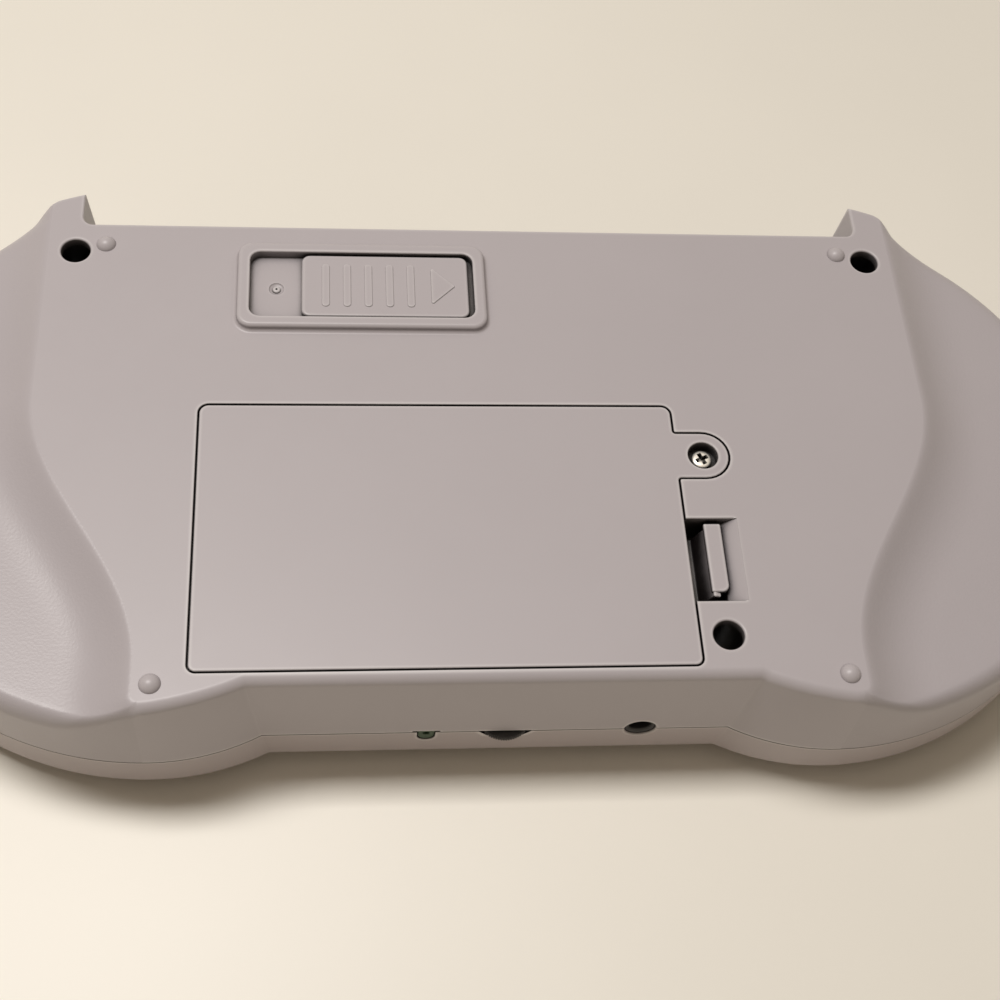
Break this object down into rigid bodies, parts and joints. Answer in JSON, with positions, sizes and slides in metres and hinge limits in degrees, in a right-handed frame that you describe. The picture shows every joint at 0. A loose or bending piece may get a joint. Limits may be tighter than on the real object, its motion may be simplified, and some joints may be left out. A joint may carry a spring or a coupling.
{
  "type": "handheld game console",
  "caption": "Handheld cartridge game console with round grips, lying face down: flat back with battery door, ribbed slide, screw wells and edge jacks; screen, pad and buttons on its front.",
  "frame": {"origin": "middle of the footprint, on the plane that the screen surround rests on", "axes": "+X to the right as the back is seen with the cartridge slot away from the viewer, +Y towards the cartridge slot, +Z out of the back panel"},
  "size_m": [0.2202, 0.104, 0.0315],
  "materials": {
    "shell": "fine matte moulding, lavender grey",
    "dark_plastic": "satin black moulding",
    "steel": "plated steel",
    "battery": "shrink sleeve",
    "contact": "plated contact",
    "board": "solder mask",
    "lens": "polished window",
    "lcd": "display panel",
    "rubber": "silicone",
    "purple_button": "smooth",
    "lilac_button": "smooth",
    "light_pipe": "clear green",
    "green_plastic": "dark green moulding"
  },
  "bodies": {
    "console": {"rear_shell": "shell", "front_shell": "shell", "case_screws": "steel", "battery_pack": "battery", "battery_contacts": "contact", "cartridge_well": "dark_plastic", "cartridge_connector": "dark_plastic", "connector_contacts": "contact", "main_board": "board", "board_screws": "steel", "screen_lens": "lens", "lcd_panel": "lcd", "lcd_frame": "steel", "dpad_membrane": "rubber", "face_membrane": "rubber", "menu_membrane": "rubber", "power_switch": "steel", "power_light": "light_pipe", "speaker_left": "dark_plastic", "speaker_right": "dark_plastic", "volume_pot": "steel", "headphone_jack": "dark_plastic", "power_jack": "green_plastic", "shoulder_pins": "steel", "shoulder_switch_left": "board", "shoulder_switch_right": "board"},
    "battery_door": {"battery_cover": "shell", "cover_screw": "steel"},
    "slide": {"rear_slide": "shell", "slide_clip": "dark_plastic"},
    "pad_pivot": {"dpad_ball": "steel"},
    "pad": {"dpad": "dark_plastic"},
    "top_key": {"button_top": "lilac_button"},
    "right_key": {"button_right": "purple_button"},
    "bottom_key": {"button_bottom": "purple_button"},
    "left_key": {"button_left": "lilac_button"},
    "start_key": {"start_button": "dark_plastic"},
    "select_key": {"select_button": "dark_plastic"},
    "power_slide": {"power_knob": "dark_plastic"},
    "wheel": {"volume_wheel": "dark_plastic"},
    "left_shoulder": {"shoulder_left": "lilac_button"},
    "right_shoulder": {"shoulder_right": "lilac_button"}
  },
  "joints": [
    {"name": "battery_door_hinge", "type": "hinge", "parent": "console", "child": "battery_door", "pos_m": [-0.05, -0.0195, 0.03], "axis": [0, -1, 0], "range_deg": [0, 60]},
    {"name": "rear_slide_travel", "type": "slide", "parent": "console", "child": "slide", "axis": [-1, 0, 0], "range_m": [0, 0.009]},
    {"name": "pad_rock_up_down", "type": "hinge", "parent": "console", "child": "pad_pivot", "pos_m": [0.078, 0.00603, 0.00625], "axis": [1, 0, 0], "range_deg": [-3, 3], "stiffness_Nm_per_rad": 0.25, "deforming": ["dpad_membrane"]},
    {"name": "pad_rock_left_right", "type": "hinge", "parent": "pad_pivot", "child": "pad", "pos_m": [0.078, 0.00603, 0.00625], "axis": [0, 1, 0], "range_deg": [-3, 3], "stiffness_Nm_per_rad": 0.25, "deforming": ["dpad_membrane"]},
    {"name": "top_key_press", "type": "slide", "parent": "console", "child": "top_key", "axis": [0, 0, 1], "range_m": [0, 0.001], "stiffness_N_per_m": 900, "deforming": ["face_membrane"]},
    {"name": "right_key_press", "type": "slide", "parent": "console", "child": "right_key", "axis": [0, 0, 1], "range_m": [0, 0.001], "stiffness_N_per_m": 900, "deforming": ["face_membrane"]},
    {"name": "bottom_key_press", "type": "slide", "parent": "console", "child": "bottom_key", "axis": [0, 0, 1], "range_m": [0, 0.001], "stiffness_N_per_m": 900, "deforming": ["face_membrane"]},
    {"name": "left_key_press", "type": "slide", "parent": "console", "child": "left_key", "axis": [0, 0, 1], "range_m": [0, 0.001], "stiffness_N_per_m": 900, "deforming": ["face_membrane"]},
    {"name": "start_key_press", "type": "slide", "parent": "console", "child": "start_key", "axis": [0, 0, 1], "range_m": [0, 0.0008], "stiffness_N_per_m": 900, "deforming": ["menu_membrane"]},
    {"name": "select_key_press", "type": "slide", "parent": "console", "child": "select_key", "axis": [0, 0, 1], "range_m": [0, 0.0008], "stiffness_N_per_m": 900, "deforming": ["menu_membrane"]},
    {"name": "power_slide_travel", "type": "slide", "parent": "console", "child": "power_slide", "axis": [1, 0, 0], "range_m": [0, 0.004]},
    {"name": "volume_turn", "type": "hinge", "parent": "console", "child": "wheel", "pos_m": [0.0012, -0.04377, 0.0104], "axis": [0, 0, 1], "range_deg": [-140, 140]},
    {"name": "left_shoulder_press", "type": "hinge", "parent": "console", "child": "left_shoulder", "pos_m": [0.09684, 0.027, 0.013], "axis": [0, 0, 1], "range_deg": [0, 4], "stiffness_Nm_per_rad": 0.8},
    {"name": "right_shoulder_press", "type": "hinge", "parent": "console", "child": "right_shoulder", "pos_m": [-0.09684, 0.027, 0.013], "axis": [0, 0, -1], "range_deg": [0, 4], "stiffness_Nm_per_rad": 0.8}
  ]
}
